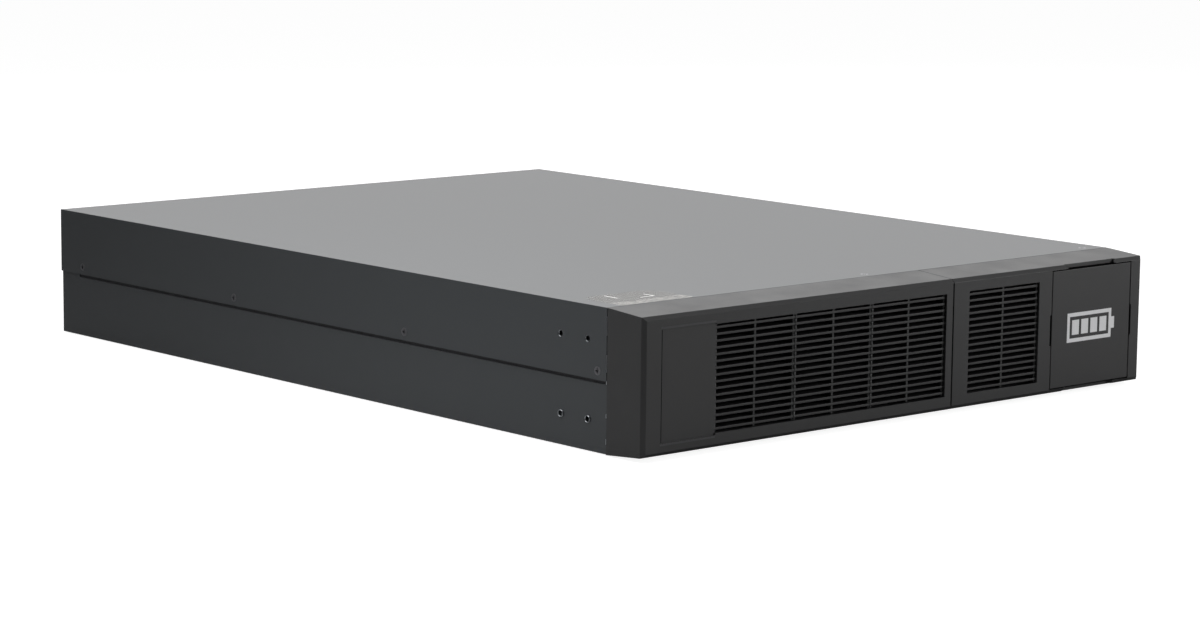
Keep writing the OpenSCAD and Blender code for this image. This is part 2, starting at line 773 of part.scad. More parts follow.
// Leads from the breaker to the same contact of both sockets
module output_positive_lead() {
    y = boot_y + boot_l / 2;
    first = socket_xs[0] - contact_x;
    last = socket_xs[1] - contact_x;
    color("#a3231d") union() {
        stud_boot(pole_x, high_z);
        lead([[pole_x + boot_dia / 2 - 2, y, high_z], [last, y, high_z], [last, drop_y, mid_z],
            [last, socket_back, mid_z]], lead_dia);
        splice([first, y, high_z]);
        lead([[first, y, high_z - 1], [first, drop_y, mid_z], [first, socket_back, mid_z]], lead_dia);
    }
}

module output_negative_lead() {
    y = boot_y + boot_l / 2;
    first = socket_xs[0] + contact_x;
    last = socket_xs[1] + contact_x;
    under_z = low_z - boot_dia / 2 - lead_dia / 2 - 1.5;
    color("#1c1c1e") union() {
        stud_boot(-pole_x, low_z);
        lead([[-pole_x, y, low_z - boot_dia / 2 + 2], [-pole_x, y, under_z], [last, y, under_z],
            [last, drop_y, mid_z], [last, socket_back, mid_z]], lead_dia);
        splice([first, y, under_z]);
        lead([[first, y, under_z], [first, drop_y, mid_z], [first, socket_back, mid_z]], lead_dia);
    }
}

// ---------------------------------------------------------------- rear panel parts

module breaker_body() {
    slot_h = 2 * (hub_r + 6);
    color("#222326") difference() {
        union() {
            block([-breaker_w / 2, breaker_y0, mid_z - breaker_h / 2],
                [breaker_w / 2, panel_in, mid_z + breaker_h / 2]);
            block([-nose[0] / 2, panel_in - EPS, mid_z - nose[1] / 2],
                [nose[0] / 2, panel_out + nose_out, mid_z + nose[1] / 2]);
            for (x = [-pole_x, pole_x]) for (z = [low_z, high_z])
                bar_y([x, breaker_y0 - stud_l, z], stud_l + 1, stud_dia);
        }
        // Pocket for the toggle's hub, open at the front over the lever's swing
        bar_x([-toggle_w / 2 - 0.3, hub_y, mid_z], toggle_w + 0.6, 2 * hub_r + 0.8);
        translate([0, panel_out + nose_out, mid_z]) cube([toggle_w + 0.6, 2 * hub_r - 2, slot_h],
            center = true);
        bar_x([-toggle_w / 2 - 4.2, hub_y, mid_z], toggle_w + 8.4, 4.1);
    }
}

// Twin toggle with its tie, turning on its own trunnions
module breaker_toggle() {
    color("#16171a") translate([0, hub_y, mid_z]) rotate([-toggle_throw / 2, 0, 0]) union() {
        bar_x([-toggle_w / 2, 0, 0], toggle_w, 2 * hub_r);
        bar_x([-toggle_w / 2 - 4, 0, 0], toggle_w + 8, 4);
        block([-toggle_w / 2, 0, -lever_t / 2], [toggle_w / 2, lever_l, lever_t / 2]);
    }
}

// A two pole power socket, open to the rear
module power_socket(i) {
    x = socket_xs[i];
    wall = socket_wall;
    color("#303134") difference() {
        union() {
            block([x - socket_w / 2, socket_back, mid_z - socket_h / 2],
                [x + socket_w / 2, panel_out, mid_z + socket_h / 2]);
            // Flange behind the panel, with its two screws' ears
            block([x - socket_w / 2 - 4, panel_in - 2.5, mid_z - socket_h / 2 - 4],
                [x + socket_w / 2 + 4, panel_in, mid_z + socket_h / 2 + 4]);
        }
        block([x - socket_w / 2 + wall, panel_out - mouth_d, mid_z - socket_h / 2 + wall],
            [x + socket_w / 2 - wall, panel_out + 1, mid_z + socket_h / 2 - wall]);
        for (side = [-1, 1])
            bar_y([x + side * contact_x, socket_back + 3, mid_z], socket_l, contact_dia - 2 + 2 * fit);
    }
}

// The silver contacts inside a socket
module socket_contacts(i) {
    color("#c9ccd0") for (side = [-1, 1])
        bar_y([socket_xs[i] + side * contact_x, socket_back + 3 + fit, mid_z],
            socket_l - mouth_d + 6, contact_dia - 2);
}

module power_socket_1() { power_socket(0); }
module power_socket_2() { power_socket(1); }
module socket_contacts_1() { socket_contacts(0); }
module socket_contacts_2() { socket_contacts(1); }

// A small keyed signal jack behind the panel
module signal_port() {
    mouth = [11.8, 9, 7];
    color("#1b1b1d") difference() {
        block([port_x - port[0] / 2, panel_out - port[1], mid_z - port[2] / 2],
            [port_x + port[0] / 2, panel_out, mid_z + port[2] / 2]);
        block([port_x - mouth[0] / 2, panel_out - mouth[1], mid_z - mouth[2] / 2],
            [port_x + mouth[0] / 2, panel_out + 1, mid_z + mouth[2] / 2]);
        block([port_x - 3, panel_out - mouth[1], mid_z - mouth[2] / 2 - 2],
            [port_x + 3, panel_out + 1, mid_z]);
    }
}

module earth_stud() {
    color("#c2a34f") bar_y([stud_x, panel_in - 6, stud_mid_z], 6 + sheet_t + rear_inset - 1, stud_dia);
}

module earth_nuts() {
    nut_w = 9;
    color("#b9bcc0") for (y = [panel_in - 4, panel_out]) difference() {
        translate([stud_x, y, stud_mid_z]) rotate([-90, 0, 0]) cylinder(h = 3.6, d = nut_w, $fn = 6);
        bar_y([stud_x, y - 1, stud_mid_z], 6, stud_dia + 2 * fit);
    }
}

// ---------------------------------------------------------------- fasteners

// Clinch nuts inside the case wall behind the rack ear holes
module ear_nuts() {
    nut_dia = 8;
    nut_l = 3;
    color("#b9bcc0") at_ear_holes() translate([0, 0, -2 * sheet_t - nut_l]) difference() {
        cylinder(h = nut_l, d = nut_dia);
        translate([0, 0, -1]) cylinder(h = nut_l + 2, d = ear_hole_dia);
    }
}

module side_screws() { color("#2a2a2c") at_side_screws() countersunk_screw(); }
module top_screws() { color("#2a2a2c") at_top_screws() countersunk_screw(); }
module panel_screws() { color("#8f9296") at_panel_screws() pan_screw(); }
module rear_screws() { color("#2a2a2c") at_rear_screws() pan_screw(); }

on_feet() floor_pads();
on_feet() chassis_base();
on_feet() top_cover();
on_feet() front_panel();
on_feet() rear_panel();
on_feet() centre_divider();
on_feet() left_bezel();
on_feet() right_bezel();
on_feet() grille_1();
on_feet() grille_2();
on_feet() grille_3();
on_feet() grille_4();
on_feet() label_plate();
on_feet() left_tray();
on_feet() right_tray();
on_feet() left_hold_downs();
on_feet() right_hold_downs();
on_feet() left_pads();
on_feet() right_pads();
on_feet() battery(1);  // battery_1
on_feet() battery(2);  // battery_2
on_feet() battery(3);  // battery_3
on_feet() battery(4);  // battery_4
on_feet() battery(5);  // battery_5
on_feet() battery(6);  // battery_6
on_feet() battery(7);  // battery_7
on_feet() battery(8);  // battery_8
on_feet() battery(9);  // battery_9
on_feet() battery(10);  // battery_10
on_feet() battery(11);  // battery_11
on_feet() battery(12);  // battery_12
on_feet() left_links();
on_feet() right_links();
on_feet() left_positive_lead();
on_feet() right_positive_lead();
on_feet() left_fuse_holder();
on_feet() right_fuse_holder();
on_feet() positive_lead();
on_feet() negative_lead();
on_feet() output_positive_lead();
on_feet() output_negative_lead();
on_feet() breaker_body();
on_feet() breaker_toggle();
on_feet() power_socket_1();
on_feet() power_socket_2();
on_feet() socket_contacts_1();
on_feet() socket_contacts_2();
on_feet() signal_port();
on_feet() earth_stud();
on_feet() earth_nuts();
on_feet() ear_nuts();
on_feet() side_screws();
on_feet() top_screws();
on_feet() panel_screws();
on_feet() rear_screws();
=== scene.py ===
"""Looks, stage and camera of a rack and tower battery pack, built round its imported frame."""

import math

import bmesh
import bpy
from bpy.props import FloatProperty, FloatVectorProperty, PointerProperty
from bpy.types import Operator, Panel, PropertyGroup
from mathutils import Matrix, Vector


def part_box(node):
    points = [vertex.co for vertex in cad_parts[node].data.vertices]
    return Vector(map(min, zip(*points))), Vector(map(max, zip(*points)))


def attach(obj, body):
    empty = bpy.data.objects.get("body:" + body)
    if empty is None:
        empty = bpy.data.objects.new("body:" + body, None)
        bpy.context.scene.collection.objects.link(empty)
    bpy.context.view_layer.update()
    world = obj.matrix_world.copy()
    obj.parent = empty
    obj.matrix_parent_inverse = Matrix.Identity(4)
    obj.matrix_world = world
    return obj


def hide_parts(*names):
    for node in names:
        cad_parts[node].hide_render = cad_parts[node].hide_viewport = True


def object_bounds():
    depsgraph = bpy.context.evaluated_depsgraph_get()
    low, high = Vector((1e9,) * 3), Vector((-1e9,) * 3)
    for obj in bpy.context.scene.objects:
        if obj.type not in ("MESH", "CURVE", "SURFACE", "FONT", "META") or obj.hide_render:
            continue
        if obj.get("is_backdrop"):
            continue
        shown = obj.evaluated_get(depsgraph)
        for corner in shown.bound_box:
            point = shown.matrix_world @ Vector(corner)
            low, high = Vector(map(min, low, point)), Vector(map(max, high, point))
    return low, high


bl_info = {
    "name": "Rack battery pack",
    "version": (1, 0, 0),
    "blender": (4, 5, 0),
    "location": "3D View > Sidebar > Battery Pack",
    "description": "Builds the finished pieces, stage and camera of a two unit rack battery pack",
    "category": "Object",
}

MM = 0.001

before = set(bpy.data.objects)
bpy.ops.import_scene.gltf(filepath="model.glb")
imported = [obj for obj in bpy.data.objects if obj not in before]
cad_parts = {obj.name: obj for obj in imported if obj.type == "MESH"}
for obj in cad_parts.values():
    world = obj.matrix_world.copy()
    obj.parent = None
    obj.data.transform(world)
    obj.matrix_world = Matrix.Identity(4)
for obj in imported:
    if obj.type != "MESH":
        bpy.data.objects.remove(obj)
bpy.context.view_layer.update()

BATTERIES = [f"battery_{i}" for i in range(1, 13)]
LOUVRES = {"grille_1": "left_bezel_body", "grille_2": "left_bezel_body",
           "grille_3": "left_bezel_body", "grille_4": "right_bezel_body"}


# ---------------------------------------------------------------- colours and nodes


def linear(hex_value):
    """The linear colour of an sRGB hex value, such as 0x2B2C2E."""
    channels = [(hex_value >> shift & 255) / 255 for shift in (16, 8, 0)]
    return tuple(c / 12.92 if c <= 0.04045 else ((c + 0.055) / 1.055) ** 2.4 for c in channels)


def add(tree, kind, inputs=None, **settings):
    """Adds a node; an input is a value, or a socket to link from."""
    node = tree.nodes.new(kind)
    for key, value in settings.items():
        setattr(node, key, value)
    for key, value in (inputs or {}).items():
        if isinstance(value, bpy.types.NodeSocket):
            tree.links.new(value, node.inputs[key])
        else:
            node.inputs[key].default_value = value
    return node


def new_material(name):
    """An empty material with its output and the object's own coordinates."""
    material = bpy.data.materials.new(name)
    material.use_nodes = True
    tree = material.node_tree
    tree.nodes.clear()
    output = add(tree, "ShaderNodeOutputMaterial")
    place = add(tree, "ShaderNodeTexCoord").outputs["Object"]
    return material, tree, output, place


def surface(tree, output, colour, roughness, height=None, depth=0.0, **constants):
    """The shader of a material: linked colour, roughness and bump, and constant sockets."""
    inputs = {"Base Color": colour, "Roughness": roughness}
    inputs.update({key.replace("_", " "): value for key, value in constants.items()})
    if height is not None:
        bump = add(tree, "ShaderNodeBump", {"Height": height, "Distance": depth, "Strength": 1.0})
        inputs["Normal"] = bump.outputs["Normal"]
    shader = add(tree, "ShaderNodeBsdfPrincipled", inputs)
    tree.links.new(shader.outputs["BSDF"], output.inputs["Surface"])
    return shader


def per_metre(size_mm):
    """Pattern scale of a texture whose features are this many millimetres across."""
    return 1.0 / (size_mm * MM)


def rgba(colour, factor=1.0):
    """A colour property as a socket value, made lighter or darker by a factor."""
    return (*[min(1.0, c * factor) for c in colour], 1.0)


# ---------------------------------------------------------------- settings


class PackColours(PropertyGroup):
    """Colours of the pack's finishes."""

    steel: FloatVectorProperty(
        name="Powder coat", description="Charcoal powder coat of the sheet steel case",
        subtype="COLOR", default=linear(0x18191B), min=0, max=1)
    bezel: FloatVectorProperty(
        name="Bezel", description="Moulded ABS of the front bezels and the plate",
        subtype="COLOR", default=linear(0x212122), min=0, max=1)
    louvre: FloatVectorProperty(
        name="Louvres", description="Moulded ABS of the louvre modules",
        subtype="COLOR", default=linear(0x1B1B1C), min=0, max=1)
    ink: FloatVectorProperty(
        name="Printing", description="Screen printed ink of the symbols",
        subtype="COLOR", default=linear(0xECECEE), min=0, max=1)
    battery: FloatVectorProperty(
        name="Battery blocks", description="ABS cases of the sealed blocks",
        subtype="COLOR", default=linear(0x3A3D42), min=0, max=1)
    floor: FloatVectorProperty(
        name="Floor", description="Pale paper floor under the pack",
        subtype="COLOR", default=linear(0xB8B8B8), min=0, max=1)


class PackDetails(PropertyGroup):
    """Sizes of the small details."""

    moulding_radius: FloatProperty(
        name="Moulding radius", description="Edge radius of the moulded plastic",
        unit="LENGTH", default=0.35 * MM, min=0.05 * MM, max=0.6 * MM)
    slat_radius: FloatProperty(
        name="Slat radius", description="Edge radius of the louvres' slats",
        unit="LENGTH", default=0.3 * MM, min=0.05 * MM, max=0.6 * MM)
    sheet_radius: FloatProperty(
        name="Sheet edge radius", description="Rounding that paint gives a cut steel edge",
        unit="LENGTH", default=0.22 * MM, min=0.05 * MM, max=0.5 * MM)
    fold_radius: FloatProperty(
        name="Fold radius", description="Outer radius of a folded steel edge",
        unit="LENGTH", default=1.1 * MM, min=0.3 * MM, max=1.15 * MM)
    # Height of the dark strip that is painted shade in the seam's groove
    shade_strip_height: FloatProperty(
        name="Seal height", description="Height of the seal in the seam's groove",
        unit="LENGTH", default=1.8 * MM, min=0.5 * MM, max=2.1 * MM)
    print_height: FloatProperty(
        name="Print height", description="Thickness of the printed ink",
        unit="LENGTH", default=0.05 * MM, min=0.02 * MM, max=0.1 * MM)
    symbol_width: FloatProperty(
        name="Symbol width", description="Width of the battery symbol on the plate",
        unit="LENGTH", default=46 * MM, min=20 * MM, max=60 * MM)
    symbol_height: FloatProperty(
        name="Symbol height", description="Height of the battery symbol on the plate",
        unit="LENGTH", default=19 * MM, min=8 * MM, max=30 * MM)
    bezel_taper: FloatProperty(
        name="Bezel taper", description="Height of the sloping bands along the bezels' front",
        unit="LENGTH", default=4.8 * MM, min=2 * MM, max=8 * MM)
    plate_gap: FloatProperty(
        name="Plate gap", description="Gap between the label plate and its well",
        unit="LENGTH", default=0.6 * MM, min=0.2 * MM, max=1.2 * MM)
    grille_height: FloatProperty(
        name="Grille height", description="Height of the bezels' grille openings",
        unit="LENGTH", default=64.6 * MM, min=40 * MM, max=70 * MM)
    recess_inset: FloatProperty(
        name="Recess inset", description="Distance of the blank recess from the bezel's left side",
        unit="LENGTH", default=14.3 * MM, min=10 * MM, max=20 * MM)
    ear_hole_radius: FloatProperty(
        name="Ear hole radius", description="Radius of the holes for the rack ears",
        unit="LENGTH", default=2.08 * MM, min=1.5 * MM, max=2.4 * MM)
    ear_hole_pitch: FloatProperty(
        name="Ear hole pitch", description="Front to back pitch of the holes for the rack ears",
        unit="LENGTH", default=24.1 * MM, min=20 * MM, max=30 * MM)
    film_width: FloatProperty(
        name="Film width", description="Width of the clear film on the cover",
        unit="LENGTH", default=57 * MM, min=30 * MM, max=90 * MM)
    film_depth: FloatProperty(
        name="Film depth", description="Front to back size of the clear film on the cover",
        unit="LENGTH", default=38 * MM, min=20 * MM, max=70 * MM)
    film_band: FloatProperty(
        name="Film band", description="Depth of the crinkled band along the film's front edge",
        unit="LENGTH", default=11 * MM, min=3 * MM, max=18 * MM)


class PackStudio(PropertyGroup):
    """Camera and lights."""

    azimuth: FloatProperty(
        name="Azimuth", description="Camera's turn round the pack from straight in front",
        subtype="ANGLE", default=math.radians(-41.46))
    elevation: FloatProperty(
        name="Elevation", description="Camera's height angle over the level",
        subtype="ANGLE", default=math.radians(8.72))
    roll: FloatProperty(
        name="Roll", description="Camera's turn about its own axis",
        subtype="ANGLE", default=math.radians(0.64))
    distance: FloatProperty(
        name="Distance", description="Distance from the camera to the plane it is aimed at",
        unit="LENGTH", default=2.3295)
    offset_right: FloatProperty(
        name="Offset right", description="How far the aim point lies right of the middle",
        unit="LENGTH", default=-8.7 * MM)
    offset_up: FloatProperty(
        name="Offset up", description="How far the aim point lies above the middle",
        unit="LENGTH", default=13.8 * MM)
    focal_length: FloatProperty(
        name="Focal length", description="Focal length on a 36 mm wide sensor",
        subtype="DISTANCE_CAMERA", default=103.04)
    key_power: FloatProperty(
        name="Key light", description="Power of the softbox in front of the pack in watts",
        subtype="POWER", default=10.5, min=0)
    fill_power: FloatProperty(
        name="Fill light", description="Power of the softbox beside the pack in watts",
        subtype="POWER", default=3.3, min=0)
    top_power: FloatProperty(
        name="Top light", description="Power of the overhead softbox in watts",
        subtype="POWER", default=8.0, min=0)
    ambient: FloatProperty(
        name="Ambient", description="Strength of the room's diffuse light",
        subtype="FACTOR", default=0.16, min=0, max=1)
    walls: FloatProperty(
        name="Walls", description="How bright reflections show the walls beside the backdrop",
        subtype="FACTOR", default=0.05, min=0, max=1)
    backdrop: FloatProperty(
        name="Backdrop", description="How bright reflections show the lit backdrop",
        default=1.78, min=0, max=3)


# ---------------------------------------------------------------- materials


def powder_coated_steel(colour):
    """Sheet steel with a fine texture powder coat: charcoal, with a soft broad sheen."""
    material, tree, output, place = new_material("powder_coated_steel")
    patches = add(tree, "ShaderNodeTexNoise", {"Vector": place, "Scale": per_metre(90), "Detail": 3.0})
    tone = add(tree, "ShaderNodeMapRange", {"Value": patches.outputs["Fac"], "From Min": 0.3,
                                            "From Max": 0.7, "To Min": 0.0, "To Max": 1.0})
    # Orange peel is 1 to 2 mm across, and its grain is drawn at 0.7 mm so that it shows
    peel = add(tree, "ShaderNodeTexNoise", {"Vector": place, "Scale": per_metre(1.8), "Detail": 1.0})
    grain = add(tree, "ShaderNodeTexNoise", {"Vector": place, "Scale": per_metre(0.7), "Detail": 2.0})
    speckle = add(tree, "ShaderNodeMath", {0: grain.outputs["Fac"], 1: tone.outputs["Result"]},
                  operation="MULTIPLY_ADD")
    speckle.inputs[2].default_value = 0.25
    paint = add(tree, "ShaderNodeMix", {"Factor": speckle.outputs["Value"], "A": rgba(colour, 0.86),
                                        "B": rgba(colour, 1.12)}, data_type="RGBA", clamp_factor=True)
    gloss = add(tree, "ShaderNodeMapRange", {"Value": patches.outputs["Fac"], "From Min": 0.3,
                                             "From Max": 0.7, "To Min": 0.27, "To Max": 0.33})
    height = add(tree, "ShaderNodeMath", {0: peel.outputs["Fac"], 1: 0.6}, operation="MULTIPLY_ADD")
    tree.links.new(grain.outputs["Fac"], height.inputs[2])
    surface(tree, output, paint.outputs["Result"], gloss.outputs["Result"],
            height.outputs["Value"], 0.012 * MM, Specular_IOR_Level=0.5)
    return material


def moulded_abs(name, colour, grain_mm, roughness):
    """ABS from a spark-eroded mould: an even matt grain with a slight cloudiness."""
    material, tree, output, place = new_material(name)
    # The real grain is 0.2 to 0.3 mm and is drawn coarser so that it shows
    grain = add(tree, "ShaderNodeTexVoronoi", {"Vector": place, "Scale": per_metre(grain_mm),
                                               "Randomness": 1.0})
    cloud = add(tree, "ShaderNodeTexNoise", {"Vector": place, "Scale": per_metre(28), "Detail": 3.0})
    tone = add(tree, "ShaderNodeMix", {"Factor": cloud.outputs["Fac"], "A": rgba(colour, 0.9),
                                       "B": rgba(colour, 1.1)}, data_type="RGBA")
    gloss = add(tree, "ShaderNodeMapRange", {"Value": cloud.outputs["Fac"], "From Min": 0.3,
                                             "From Max": 0.7, "To Min": roughness - 0.03,
                                             "To Max": roughness + 0.04})
    surface(tree, output, tone.outputs["Result"], gloss.outputs["Result"],
            grain.outputs["Distance"], 0.02 * MM, Specular_IOR_Level=0.55)
    return material


def printed_ink(colour):
    """Screen printed ink: flat white with a faint mesh of thin places."""
    material, tree, output, place = new_material("printed_ink")
    thin = add(tree, "ShaderNodeTexNoise", {"Vector": place, "Scale": per_metre(0.9), "Detail": 2.0})
    tone = add(tree, "ShaderNodeMix", {"Factor": thin.outputs["Fac"], "A": rgba(colour, 0.9),
                                       "B": rgba(colour, 1.04)}, data_type="RGBA")
    surface(tree, output, tone.outputs["Result"], 0.5, thin.outputs["Fac"], 0.005 * MM)
    return material


def clear_film(name, dark_hex, light_hex, cover, crinkle_mm, depth, twist):
    """Clear polyester film with crinkles: cover is how much of what lies under it is hidden."""
    material, tree, output, place = new_material(name)
    crinkle = add(tree, "ShaderNodeTexNoise", {"Vector": place, "Scale": per_metre(crinkle_mm),
                                               "Detail": 1.0 + 2.0 * twist, "Distortion": twist})
    spread = add(tree, "ShaderNodeMapRange", {"Value": crinkle.outputs["Fac"], "From Min": 0.36,
                                              "From Max": 0.64})
    tint = add(tree, "ShaderNodeMix", {"Factor": spread.outputs["Result"],
                                       "A": (*linear(dark_hex), 1.0),
                                       "B": (*linear(light_hex), 1.0)}, data_type="RGBA")
    surface(tree, output, tint.outputs["Result"], 0.3, crinkle.outputs["Fac"], depth,
            Specular_IOR_Level=0.2, Alpha=cover)
    return material


def galvanised_steel():
    """Hot dip galvanised sheet: crystals of slightly different greys."""
    material, tree, output, place = new_material("galvanised_steel")
    crystal = add(tree, "ShaderNodeTexVoronoi", {"Vector": place, "Scale": per_metre(9)})
    grey = add(tree, "ShaderNodeRGBToBW", {"Color": crystal.outputs["Color"]})
    tone = add(tree, "ShaderNodeMix", {"Factor": grey.outputs["Val"], "A": (*linear(0x7E8285), 1.0),
                                       "B": (*linear(0xA9ADB0), 1.0)}, data_type="RGBA")
    gloss = add(tree, "ShaderNodeMapRange", {"Value": grey.outputs["Val"], "To Min": 0.34,
                                             "To Max": 0.5})
    surface(tree, output, tone.outputs["Result"], gloss.outputs["Result"], grey.outputs["Val"],
            0.01 * MM, Metallic=0.9)
    return material


def foam_rubber(name, dark_hex, light_hex, specular):
    """Foam or rubber: near black, dull and finely pitted; also the dark strips that are painted shade."""
    material, tree, output, place = new_material(name)
    cells = add(tree, "ShaderNodeTexVoronoi", {"Vector": place, "Scale": per_metre(1.1)})
    tone = add(tree, "ShaderNodeMix", {"Factor": cells.outputs["Distance"],
                                       "A": (*linear(dark_hex), 1.0),
                                       "B": (*linear(light_hex), 1.0)}, data_type="RGBA")
    surface(tree, output, tone.outputs["Result"], 0.9, cells.outputs["Distance"], 0.15 * MM,
            Specular_IOR_Level=specular)
    return material


def cable_insulation(name, hex_value):
    """PVC insulation: smooth and slightly waxy, with long soft streaks."""
    material, tree, output, place = new_material(name)
    streak = add(tree, "ShaderNodeTexNoise", {"Vector": place, "Scale": per_metre(4), "Detail": 2.0})
    colour = linear(hex_value)
    tone = add(tree, "ShaderNodeMix", {"Factor": streak.outputs["Fac"], "A": rgba(colour, 0.85),
                                       "B": rgba(colour, 1.15)}, data_type="RGBA")
    surface(tree, output, tone.outputs["Result"], 0.42, streak.outputs["Fac"], 0.02 * MM)
    return material


def plated_metal(name, hex_value, roughness, scratch_mm):
    """Plated or turned metal: bright, with fine random scratches."""
    material, tree, output, place = new_material(name)
    scratch = add(tree, "ShaderNodeTexNoise", {"Vector": place, "Scale": per_metre(scratch_mm),
                                               "Detail": 4.0})
    colour = linear(hex_value)
    tone = add(tree, "ShaderNodeMix", {"Factor": scratch.outputs["Fac"], "A": rgba(colour, 0.85),
                                       "B": rgba(colour, 1.1)}, data_type="RGBA")
    gloss = add(tree, "ShaderNodeMapRange", {"Value": scratch.outputs["Fac"],
                                             "To Min": roughness - 0.08, "To Max": roughness + 0.1})
    surface(tree, output, tone.outputs["Result"], gloss.outputs["Result"], scratch.outputs["Fac"],
            0.006 * MM, Metallic=1.0)
    return material


def paper_floor(colour):
    """Seamless paper: it takes the pack's shadow, and its glow keeps it white to the camera."""
    material, tree, output, place = new_material("seamless_paper")
    fibre = add(tree, "ShaderNodeTexNoise", {"Vector": place, "Scale": per_metre(3), "Detail": 2.0})
    tone = add(tree, "ShaderNodeMix", {"Factor": fibre.outputs["Fac"], "A": rgba(colour, 0.97),
                                       "B": rgba(colour, 1.0)}, data_type="RGBA")
    paper = add(tree, "ShaderNodeBsdfDiffuse", {"Color": tone.outputs["Result"]})
    ray = add(tree, "ShaderNodeLightPath")
    glow = add(tree, "ShaderNodeMath", {0: ray.outputs["Is Camera Ray"], 1: 0.9},
               operation="MULTIPLY")
    white = add(tree, "ShaderNodeEmission", {"Strength": glow.outputs["Value"]})
    both = add(tree, "ShaderNodeAddShader", {0: paper.outputs["BSDF"], 1: white.outputs["Emission"]})
    tree.links.new(both.outputs["Shader"], output.inputs["Surface"])
    return material


def material(name):
    """The named material, made the first time it is asked for."""
    colours = bpy.context.scene.pack_colours
    makers = {
        "powder_coated_steel": lambda: powder_coated_steel(colours.steel),
        "bezel_abs": lambda: moulded_abs("bezel_abs", colours.bezel, 0.8, 0.5),
        "louvre_abs": lambda: moulded_abs("louvre_abs", colours.louvre, 0.8, 0.52),
        "printed_ink": lambda: printed_ink(colours.ink),
        "clear_polyester_film": lambda: clear_film("clear_polyester_film", 0x6C6860, 0x757168,
                                                   0.3, 16, 0.01 * MM, 0.0),
        # The crinkled band: the film's own tint, with pale tones painted as sheen on the crinkles
        "crinkled_film_and_sheen": lambda: clear_film("crinkled_film_and_sheen", 0x6E6B65, 0xD6D3CB,
                                                      0.4, 2.2, 0.05 * MM, 1.2),
        # White strokes on the film's creases: painted glints
        "glint_painted_film": lambda: clear_film("glint_painted_film", 0xE8E8E4, 0xFFFFFF,
                                                     1.0, 1.5, 0.01 * MM, 0.0),
        "galvanised_steel": galvanised_steel,
        "closed_cell_foam": lambda: foam_rubber("closed_cell_foam", 0x242426, 0x3D3D40, 0.5),
        # Near-black strips that are painted shade in the bezels' gaps and by the recess
        "painted_shade_strip": lambda: foam_rubber("painted_shade_strip", 0x050505, 0x0C0C0C, 0.02),
        # A lighter ABS: painted highlight on the recess's top and bottom lips
        "painted_highlight_abs": lambda: moulded_abs("painted_highlight_abs", linear(0x3C3C3E), 1.0, 0.3),
        "moulded_rubber": lambda: foam_rubber("moulded_rubber", 0x1C1C1D, 0x2C2C2E, 0.4),
        # A dark strip in the seam's groove: painted shade
        "painted_shade_seam_strip": lambda: foam_rubber("painted_shade_seam_strip", 0x2A2A2C, 0x343437, 0.4),
        "battery_abs": lambda: moulded_abs("battery_abs", colours.battery, 1.2, 0.45),
        "breaker_polyamide": lambda: moulded_abs("breaker_polyamide", linear(0x232427), 1.0, 0.42),
        "toggle_polyamide": lambda: moulded_abs("toggle_polyamide", linear(0x141416), 1.2, 0.3),
        "socket_polyamide": lambda: moulded_abs("socket_polyamide", linear(0x2A2B2E), 1.0, 0.46),
        "black_pvc": lambda: cable_insulation("black_pvc", 0x1B1B1D),
        "red_pvc": lambda: cable_insulation("red_pvc", 0xA3231D),
        "silver_plate": lambda: plated_metal("silver_plate", 0xD2D4D6, 0.22, 1.5),
        "turned_brass": lambda: plated_metal("turned_brass", 0xC2A34F, 0.28, 1.2),
        "zinc_plate": lambda: plated_metal("zinc_plate", 0xB4B8BC, 0.32, 1.0),
        "black_zinc": lambda: plated_metal("black_zinc", 0x6A6A6D, 0.34, 1.0),
    }
    return bpy.data.materials.get(name) or makers[name]()


# ---------------------------------------------------------------- meshes


def mesh_from(solid, name):
    """Turns a bmesh into a mesh and frees it."""
    mesh = bpy.data.meshes.new(name)
    solid.to_mesh(mesh)
    solid.free()
    return mesh


def join_rings(solid, rings, loop):
    """Faces between neighbouring rings of four corners: a smooth loop, or a bar with flat ends."""
    for ring, following in zip(rings, rings[1:] + (rings[:1] if loop else [])):
        for k in range(4):
            face = solid.faces.new((ring[k], ring[(k + 1) % 4], following[(k + 1) % 4],
                                    following[k]))
            face.smooth = loop
    if not loop:
        solid.faces.new(rings[0])
        solid.faces.new(rings[-1])


def new_piece(name, mesh, body, finish):
    """A mesh object that rides on a body and takes its finish from a slot."""
    piece = bpy.data.objects.new(name, mesh)
    bpy.context.scene.collection.objects.link(piece)
    mesh.materials.clear()
    mesh.materials.append(material(finish))
    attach(piece, body)
    return piece


def baked(piece):
    """Replaces a piece's mesh with what its modifiers make of it."""
    graph = bpy.context.evaluated_depsgraph_get()
    mesh = bpy.data.meshes.new_from_object(
        piece.evaluated_get(graph), preserve_all_data_layers=True, depsgraph=graph)
    old = piece.data
    piece.modifiers.clear()
    piece.data = mesh
    bpy.data.meshes.remove(old)
    mesh.name = piece.name


def clean_copy(node, cut):
    """A node's mesh as a bmesh, with its flat faces made whole again, or cut plainly in triangles."""
    solid = bmesh.new()
    solid.from_mesh(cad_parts[node].data)
    bmesh.ops.remove_doubles(solid, verts=solid.verts, dist=0.001 * MM)
    bmesh.ops.dissolve_limit(solid, angle_limit=math.radians(0.5), verts=solid.verts,
                             edges=solid.edges)
    if cut:
        many = [face for face in solid.faces if len(face.verts) > 4]
        bmesh.ops.triangulate(solid, faces=many, ngon_method="EAR_CLIP")
    return solid


